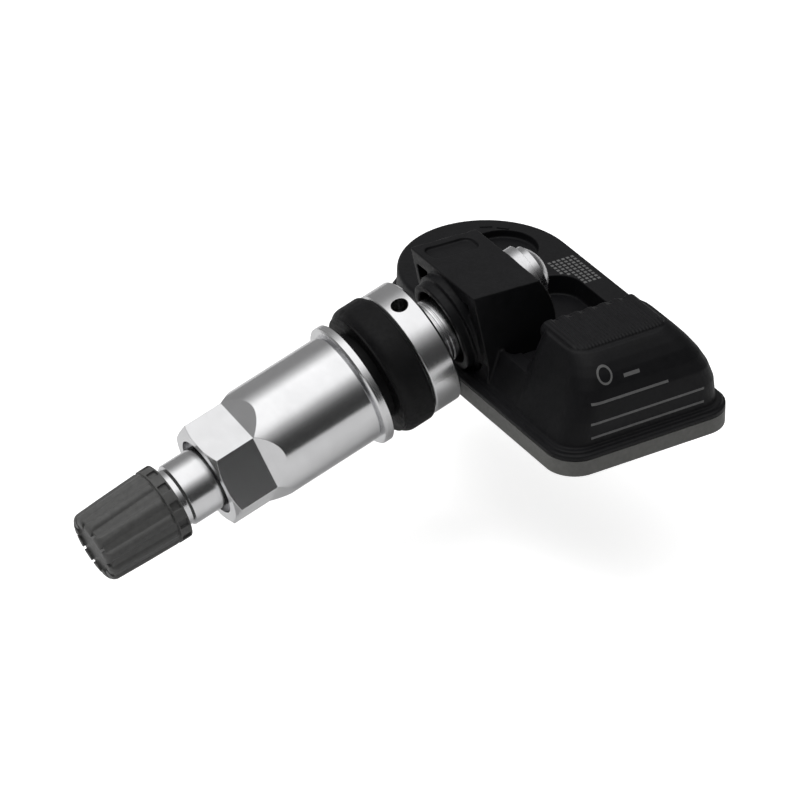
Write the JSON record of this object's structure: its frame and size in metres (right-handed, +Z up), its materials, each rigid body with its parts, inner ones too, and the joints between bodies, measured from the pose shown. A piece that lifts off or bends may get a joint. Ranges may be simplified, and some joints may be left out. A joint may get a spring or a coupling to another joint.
{
  "type": "tyre pressure sensor",
  "caption": "Clamp-in tyre pressure sensor: black housing with a grey base and an aluminium valve that swivels in a bracket, with grommet, sleeve nut and ribbed cap.",
  "frame": {"origin": "on the housing's flat underside, in the valve's plane, at the middle of the housing's width", "axes": "+X along the housing towards its square end, +Y from the valve towards the far side, +Z up from the underside; the valve points to -Y and 17.6 degrees down"},
  "size_m": [0.0484, 0.0743, 0.0266],
  "materials": {
    "black_nylon": "matte, glass-filled",
    "grey_plastic": "satin",
    "cap_plastic": "satin",
    "turned_aluminium": "turned",
    "black_rubber": "matte",
    "steel": "bright zinc",
    "brass_plated": "satin",
    "board_green": "satin",
    "chip_black": "matte",
    "copper_wire": "enamelled",
    "red_gasket": "matte",
    "silicone": "matte"
  },
  "bodies": {
    "housing": {"housing": "black_nylon", "base_cover": "grey_plastic", "circuit_board": "board_green", "coin_cell": "steel", "cell_tab_top": "steel", "cell_tab_bottom": "steel", "pressure_chip": "chip_black", "port_seal": "silicone", "antenna_coil": "copper_wire", "coil_core": "chip_black", "coil_winding": "copper_wire", "crystal": "steel"},
    "valve": {"valve_stem": "turned_aluminium", "grommet": "black_rubber", "core_body": "brass_plated", "core_gasket": "red_gasket", "core_spring": "steel", "clamp_screw": "steel", "curved_washer": "steel"},
    "core_pin": {"core_pin": "brass_plated", "core_seal": "black_rubber"},
    "ring": {"thrust_ring": "turned_aluminium"},
    "nut": {"sleeve_nut": "turned_aluminium"},
    "cap_seal": {"cap_seal": "black_rubber"},
    "cap": {"valve_cap": "cap_plastic"}
  },
  "joints": [
    {"name": "valve_swivel", "type": "hinge", "parent": "housing", "child": "valve", "pos_m": [0, -0.0129, 0.0084], "axis": [-1, 0, 0], "range_deg": [-9, 12]},
    {"name": "pin_press", "type": "slide", "parent": "valve", "child": "core_pin", "axis": [0, 0.9532, 0.3024], "range_m": [0, 0.001], "stiffness_N_per_m": 2000, "springref_m": -0.001, "deforming": ["core_spring"]},
    {"name": "nut_travel", "type": "slide", "parent": "valve", "child": "ring", "axis": [0, -0.9532, -0.3024], "range_m": [0, 0.0046]},
    {"name": "nut_turn", "type": "hinge", "parent": "ring", "child": "nut", "pos_m": [0, -0.03196, 0.00235], "axis": [0, -0.9532, -0.3024], "range_deg": [0, 2160]},
    {"name": "cap_travel", "type": "slide", "parent": "valve", "child": "cap_seal", "axis": [0, -0.9532, -0.3024], "range_m": [0, 0.0071]},
    {"name": "cap_turn", "type": "hinge", "parent": "cap_seal", "child": "cap", "pos_m": [0, -0.05579, -0.00521], "axis": [0, -0.9532, -0.3024], "range_deg": [0, 3240]}
  ],
  "couplings": [
    {"joint": "nut_travel", "follows": "nut_turn", "m_per_rad": 0.00011937},
    {"joint": "cap_turn", "follows": "cap_travel", "rad_per_m": 7913.3}
  ]
}
